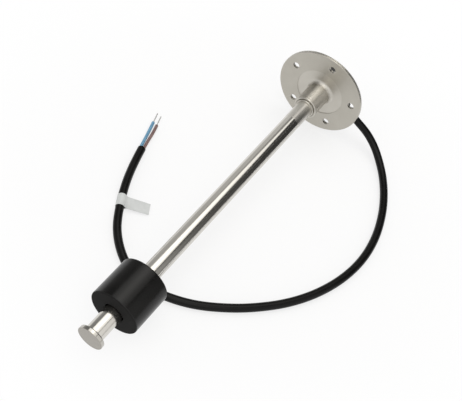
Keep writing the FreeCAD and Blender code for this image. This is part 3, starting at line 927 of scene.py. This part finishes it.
# %% [markdown]
# ## The free end of the cable
#
# At its free end the jacket is cut off square, and a blue and a brown core come out of it. A ring shows the
# jacket's wall, so that the cores come out of a hollow and not out of a flat disc. Each core is a short
# smooth cord, and its bared end is a twist of seven tinned strands: one in the middle and six wound round it.
# A plain rod with a twisted bump would do from afar, but not from close up.

# %% The jacket's cut end
JACKET_WALL = 0.55 * MM
CUT_EDGE = 0.15 * MM

end_turn = end_way.to_track_quat("X", "Z").to_matrix().to_4x4()
cut_end = turned("cut_end", [
    (-END_RING, CABLE / 2 - JACKET_WALL, 0), (-END_RING, CABLE / 2, 0),
    (0, CABLE / 2, CUT_EDGE), (0, CABLE / 2 - JACKET_WALL, FINE_EDGE),
], Matrix.Translation(jacket_end) @ end_turn, steps=64)
dress(cut_end, jacket_finish, "sender", "cable_black")
print("cut end:", len(cut_end.data.polygons), "faces")

# %% The cores
CORE = 2.4 * MM
CORE_SPREAD = 2.5 * MM
CORE_STRAIGHT = 8.5 * MM
CORE_TUCK = 1.4 * MM
BLUE_BEND, BLUE_TIP = Vector((0.0232, 0.0810, 0.0022)), Vector((0.0325, 0.0842, 0.0016))
BROWN_BEND, BROWN_TIP = Vector((0.0234, 0.0776, 0.0022)), Vector((0.0319, 0.0805, 0.0016))

end_left = Vector((0, 0, 1)).cross(end_way)


def core_route(side, bend, tip):
    """A core's points: out of the jacket beside its neighbour, then to its own tip."""
    start = jacket_end + end_left * (side * CORE_SPREAD / 2)
    return [start - end_way * CORE_TUCK, start + end_way * CORE_STRAIGHT, bend, tip]


blue_route = core_route(1, BLUE_BEND, BLUE_TIP)
brown_route = core_route(-1, BROWN_BEND, BROWN_TIP)
blue_core = smooth_cord("blue_core", blue_route, CORE)
brown_core = smooth_cord("brown_core", brown_route, CORE)
dress(blue_core, blue_finish, "sender", "wire_blue", "blue_wire")
dress(brown_core, brown_finish, "sender", "wire_brown", "brown_wire")
print("cores:", [round(core.data.splines[0].calc_length(), 4) for core in (blue_core, brown_core)])

# %% The bare strands
STRAND = 0.28 * MM
STRAND_CIRCLE = 0.29 * MM
STRAND_LAY = 9.0 * MM
STRAND_BARE = 10.6 * MM
STRAND_TUCK = 1.0 * MM
STRAND_COUNT = 6
STRAND_STEPS = 24


def strand_line(route, radius, start_angle):
    """One strand's points: a gentle helix about the core's last run."""
    way = (route[-1] - route[-2]).normalized()
    side = way.cross(Vector((0, 0, 1))).normalized()
    up = side.cross(way)
    line = []
    for step in range(STRAND_STEPS + 1):
        along = -STRAND_TUCK + (STRAND_BARE + STRAND_TUCK) * step / STRAND_STEPS
        angle = start_angle + math.tau * along / STRAND_LAY
        line.append(route[-1] + way * along + (side * math.cos(angle) + up * math.sin(angle)) * radius)
    return line


def bare_strands(name, route):
    """Seven tinned strands in one curve: one in the middle and the rest wound round it."""
    curve = round_curve(name, STRAND, 3)
    add_line(curve, "POLY", strand_line(route, 0, 0))
    for number in range(STRAND_COUNT):
        start_angle = math.tau * number / STRAND_COUNT
        add_line(curve, "POLY", strand_line(route, STRAND_CIRCLE, start_angle))
    return put_in_scene(name, curve)


blue_strands = bare_strands("blue_strands", blue_route)
brown_strands = bare_strands("brown_strands", brown_route)
dress(blue_strands, wire_finish, "sender", "tinned_copper", "blue_conductor")
dress(brown_strands, wire_finish, "sender", "tinned_copper", "brown_conductor")
print("strands:", len(blue_strands.data.splines), "in each core")

# %% [markdown]
# ## The cable stays rigid
#
# The solids of the cable are rigid, and so is the curve above, but the real cable bends. A bone chain
# could bend it, but none is added here.

# %% [markdown]
# ## The pieces inside
#
# Nobody sees the circuit in the stem or the magnet in the float, but they are there, and a cutaway would show
# them. Their solids are right as they are, so they keep their meshes and only get finishes of their own.

# %% The finishes inside
def inner_finish(name, constants, dark, light, speck, roughness, depth):
    """A plain finish for a hidden piece: one pattern drives its colour, roughness and relief."""
    finish = Finish(name, constants)
    pattern = finish.specks(even(speck), detail=4)
    finish.colour(pattern, dark, light)
    finish.spread("Roughness", pattern, *roughness)
    return finish.bump(pattern, depth)


ferrite = inner_finish(
    "ferrite", {}, (0.030, 0.030, 0.033), (0.060, 0.060, 0.064),
    speck=0.6 * MM, roughness=(0.55, 0.75), depth=0.03 * MM)
resin = inner_finish(
    "resin", {"Coat Weight": 0.4}, (0.010, 0.010, 0.012), (0.020, 0.020, 0.022),
    speck=3 * MM, roughness=(0.12, 0.25), depth=0.02 * MM)
board = inner_finish(
    "board", {"Coat Weight": 0.3}, (0.010, 0.075, 0.030), (0.018, 0.110, 0.045),
    speck=1 * MM, roughness=(0.30, 0.45), depth=0.01 * MM)
glass = inner_finish(
    "reed_glass", {"Transmission Weight": 1.0, "IOR": 1.5}, (0.62, 0.80, 0.72), (0.74, 0.90, 0.82),
    speck=1.5 * MM, roughness=(0.02, 0.06), depth=0.002 * MM)
chip = inner_finish(
    "chip", {}, (0.012, 0.012, 0.014), (0.030, 0.030, 0.033),
    speck=0.4 * MM, roughness=(0.25, 0.40), depth=0.01 * MM)
print("finishes inside:", [finish.material.name for finish in (ferrite, resin, board, glass, chip)])

# %% The pieces inside
INSIDE = {
    "float_magnet": ferrite, "potting_plug": resin, "circuit_board": board, "reed_capsules": glass,
    "reed_leads": wire_finish, "chip_resistors": chip, "blue_lead": blue_finish, "brown_lead": brown_finish,
}
for node, finish in INSIDE.items():
    for slot in frame["nodes"][node].material_slots:
        slot.material = finish.material
print("finished inside:", ", ".join(INSIDE))

# %% [markdown]
# ## The table and the studio
#
# The sender lies on a plain white table under one wide softbox, as in a product photograph. The table is real
# enough to catch soft shadows, but it has to end in pure white. Brighter lamps would do that and burn out the
# metal. So for rays from the camera and for reflections, most of the table's light is a steady white glow and
# the rest is the true shaded surface. The share of the glow grows away from the sender: the open table comes
# out white, and the shadows stay. The world does the same.

# %% The table's white
TABLE_COLOUR = (0.95, 0.95, 0.95, 1)
TABLE_ROUGHNESS = 0.9
GLOW_NEAR = 0.72
GLOW_FAR = 1.0
GLOW_MIDDLE = (0.05, 0.0, 0.0)
GLOW_STARTS = 0.08
GLOW_ENDS = 0.26


def seen_or_reflected(tree):
    """1 for rays from the camera, reflections and glass, and 0 for plain light."""
    rays = add_node(tree, "ShaderNodeLightPath", {}).outputs
    either = add_node(
        tree, "ShaderNodeMath", {0: rays["Is Camera Ray"], 1: rays["Is Glossy Ray"]}, operation="MAXIMUM")
    any_of = add_node(
        tree, "ShaderNodeMath", {0: either.outputs[0], 1: rays["Is Transmission Ray"]}, operation="MAXIMUM")
    return any_of.outputs[0]


def measured(tree, operation, point):
    """DISTANCE from a point in metres, or with DOT_PRODUCT how far along a direction."""
    place = add_node(tree, "ShaderNodeTexCoord", {}).outputs["Object"]
    return add_node(tree, "ShaderNodeVectorMath", {0: place, 1: point}, operation=operation).outputs["Value"]


def table_white():
    """White that glows for the camera and in reflections, the more the further from the sender."""
    material, tree = new_material("table_white")
    surface = tree.nodes["Principled BSDF"]
    surface.inputs["Base Color"].default_value = TABLE_COLOUR
    surface.inputs["Roughness"].default_value = TABLE_ROUGHNESS
    surface.inputs["Specular IOR Level"].default_value = 0.0
    rise = add_node(tree, "ShaderNodeMapRange", {
        "Value": measured(tree, "DISTANCE", GLOW_MIDDLE), "From Min": GLOW_STARTS, "From Max": GLOW_ENDS,
        "To Min": GLOW_NEAR, "To Max": GLOW_FAR,
    }, interpolation_type="SMOOTHSTEP")
    share = add_node(
        tree, "ShaderNodeMath", {0: rise.outputs["Result"], 1: seen_or_reflected(tree)}, operation="MULTIPLY")
    glow = add_node(tree, "ShaderNodeEmission", {})
    blend = add_node(tree, "ShaderNodeMixShader", {
        "Fac": share.outputs[0], 1: surface.outputs[0], 2: glow.outputs[0],
    })
    tree.links.new(blend.outputs[0], tree.nodes["Material Output"].inputs["Surface"])
    return material


table_finish = table_white()
print("table finish:", len(table_finish.node_tree.nodes), "nodes")

# %% The table
TABLE_HALF = 4.0


def flat_panel(name, corners, material):
    """A four-cornered panel of the studio, which is not part of the sender."""
    mesh = bpy.data.meshes.new(name)
    mesh.from_pydata(corners, [], [range(len(corners))])
    mesh.materials.append(material)
    panel = put_in_scene(name, mesh)
    return panel


def level(start, stop, height):
    """Corners of a level panel between two places, at a height."""
    return [(*start, height), (stop[0], start[1], height), (*stop, height), (start[0], stop[1], height)]


flat_panel("table", level((-TABLE_HALF, -TABLE_HALF), (TABLE_HALF, TABLE_HALF), 0), table_finish)
print("table:", 2 * TABLE_HALF, "m square")

# %% The softbox and the world
SOFTBOX_PLACE = Vector((0.20, 0.05, 0.90))
SOFTBOX_SIDE = 0.96
SOFTBOX_TURN = math.radians(45)
SOFTBOX_POWER = 3.4
SOFTBOX_COLOUR = (1.0, 0.985, 0.955)
SKY_LIGHT = 0.70
WHITE = (1, 1, 1, 1)

softbox = put_in_scene("softbox", bpy.data.lights.new("softbox", "AREA"))
softbox.data.shape = "SQUARE"
softbox.data.size = SOFTBOX_SIDE
softbox.data.energy = SOFTBOX_POWER
softbox.data.color = SOFTBOX_COLOUR
softbox.location = SOFTBOX_PLACE
softbox.rotation_euler = (0, 0, SOFTBOX_TURN)
softbox.visible_camera = False

world = bpy.data.worlds.new("studio")
bpy.context.scene.world = world
world.use_nodes = True
sky = world.node_tree
plain_light = sky.nodes["Background"]
plain_light.inputs["Strength"].default_value = SKY_LIGHT
plain_light.inputs["Color"].default_value = WHITE
white_light = add_node(sky, "ShaderNodeBackground", {"Color": WHITE})
sky_blend = add_node(sky, "ShaderNodeMixShader", {
    "Fac": seen_or_reflected(sky), 1: plain_light.outputs[0], 2: white_light.outputs[0],
})
sky.links.new(sky_blend.outputs[0], sky.nodes["World Output"].inputs["Surface"])
print("softbox:", SOFTBOX_SIDE, "m square,", SOFTBOX_POWER, "W")

# %% [markdown]
# ## What the metal reflects
#
# Polished metal is only as good as its surroundings. A photographer puts cards round the table, and so does
# this scene: a grey wall, a dark wall with a dark strip of table before it, a back wall, a ceiling that
# darkens to one side and a bright panel in front. They draw the grey and dark bands along the stem. A last
# card adds the bright middle that a real softbox has. A picture of a studio on the world could do the same,
# but cards can be moved one by one. They show in reflections and nowhere else, so they neither light nor
# shade the sender.

# %% The cards' materials
CARD_TINT = (1.0, 0.99, 0.97)
CORE_COLOUR = (1.0, 0.97, 0.92, 1)


def card_grey(name, way, shades):
    """A glow that changes along one direction: (distance, brightness) pairs, in metres from the origin."""
    material, tree = new_material(name)
    first, last = shades[0][0], shades[-1][0]
    share = add_node(tree, "ShaderNodeMapRange", {
        "Value": measured(tree, "DOT_PRODUCT", way), "From Min": first, "From Max": last,
    })
    ramp = add_node(tree, "ShaderNodeValToRGB", {"Fac": share.outputs["Result"]})
    stops = ramp.color_ramp.elements
    for distance, _ in shades[1:-1]:
        stops.new((distance - first) / (last - first))
    for stop, (_, brightness) in zip(stops, shades):
        stop.color = (*(brightness * part for part in CARD_TINT), 1)
    glow = add_node(tree, "ShaderNodeEmission", {"Color": ramp.outputs["Color"]})
    tree.links.new(glow.outputs[0], tree.nodes["Material Output"].inputs["Surface"])
    return material


def lamp_core(name, middle, reach, brightness):
    """A glow that fades away from the middle and lets everything behind it through."""
    material, tree = new_material(name)
    fade = add_node(tree, "ShaderNodeMapRange", {
        "Value": measured(tree, "DISTANCE", middle), "From Max": reach, "To Min": brightness, "To Max": 0.0,
    }, interpolation_type="SMOOTHSTEP")
    glow = add_node(tree, "ShaderNodeEmission", {"Color": CORE_COLOUR, "Strength": fade.outputs["Result"]})
    clear = add_node(tree, "ShaderNodeBsdfTransparent", {})
    both = add_node(tree, "ShaderNodeAddShader", {0: glow.outputs[0], 1: clear.outputs[0]})
    tree.links.new(both.outputs[0], tree.nodes["Material Output"].inputs["Surface"])
    return material


print("tint of the cards:", CARD_TINT)

# %% The cards on the dark side
ROOM_SIDE = 0.75
ROOM_BACK = 1.5
WALL_HEIGHT = 0.95
ON_TABLE = 0.0005
INTO_DARK = (1, 0.55, -0.17)
DARK_STARTS = 0.10
STRIP_STARTS = -0.15
STRIP_EDGE = -0.22


def reflection_card(name, corners, material):
    """A card that shows in reflections and does nothing else."""
    card = flat_panel(name, corners, material)
    card.visible_camera = False
    card.visible_diffuse = False
    card.visible_shadow = False


def upright(start, stop):
    """Corners of a wall between two places on the table."""
    return [(*start, 0.0), (*stop, 0.0), (*stop, WALL_HEIGHT), (*start, WALL_HEIGHT)]


dark_side = card_grey("dark_side", INTO_DARK, [
    (-0.28, 1.0), (-0.25, 0.85), (-0.21, 0.38), (-0.14, 0.33),
    (-0.08, 0.18), (0.04, 0.07), (0.19, 0.05), (1.09, 0.04),
])
reflection_card("dark_wall", upright((DARK_STARTS, -ROOM_SIDE), (ROOM_BACK, -ROOM_SIDE)), dark_side)
reflection_card("dark_strip", [
    (STRIP_STARTS, STRIP_EDGE, ON_TABLE), (ROOM_BACK, STRIP_EDGE, ON_TABLE),
    (ROOM_BACK, -ROOM_SIDE, ON_TABLE), (DARK_STARTS, -ROOM_SIDE, ON_TABLE),
], dark_side)
print("dark side:", len(dark_side.node_tree.nodes), "nodes on two cards")

# %% The other cards
UP = (0, 0, 1)
ALONG = (1, 0, 0)
TO_DARK_SIDE = (0.4, -1, 0)
DOWN_WALL = (1, 0, -0.35)
ROOM_FRONT = -1.2
CEILING_STARTS = -0.15
CEILING_HEIGHT = 0.97
PANEL_START, PANEL_STOP = (-1.10, -0.70), (-0.25, 0.15)
PANEL_GLOW = 1.8
CORE_START, CORE_STOP = (-0.25, -0.40), (0.69, 0.52)
CORE_MIDDLE = (0.22, 0.06, 0.89)
CORE_FADES = 0.38
CORE_GLOW = 1.2

reflection_card(
    "grey_wall", upright((ROOM_FRONT, ROOM_SIDE), (ROOM_BACK, ROOM_SIDE)),
    card_grey("grey_wall", DOWN_WALL, [
        (-1.3, 0.50), (-0.3, 0.45), (-0.1, 0.26), (0.03, 0.24), (0.12, 0.44),
        (0.25, 0.51), (0.45, 0.60), (0.65, 0.68), (1.5, 0.68),
    ]))
reflection_card(
    "back_wall", upright((ROOM_BACK, -ROOM_SIDE), (ROOM_BACK, ROOM_SIDE)),
    card_grey("back_wall", UP, [(0.0, 0.20), (WALL_HEIGHT, 0.12)]))
reflection_card(
    "ceiling", level((CEILING_STARTS, -ROOM_SIDE), (ROOM_BACK, ROOM_SIDE), CEILING_HEIGHT),
    card_grey("ceiling", TO_DARK_SIDE, [(-0.5, 0.40), (0.0, 0.32), (0.4, 0.09), (0.8, 0.07)]))
reflection_card(
    "front_panel", level(PANEL_START, PANEL_STOP, CEILING_HEIGHT),
    card_grey("front_panel", ALONG, [(PANEL_START[0], PANEL_GLOW), (PANEL_STOP[0], PANEL_GLOW)]))
reflection_card(
    "softbox_core", level(CORE_START, CORE_STOP, CORE_MIDDLE[2]),
    lamp_core("softbox_core", CORE_MIDDLE, CORE_FADES, CORE_GLOW))

# %% [markdown]
# ## The view transform
#
# The picture is shown with Blender's Standard view transform.

# %% The view transform
bpy.context.scene.view_settings.view_transform = "Standard"
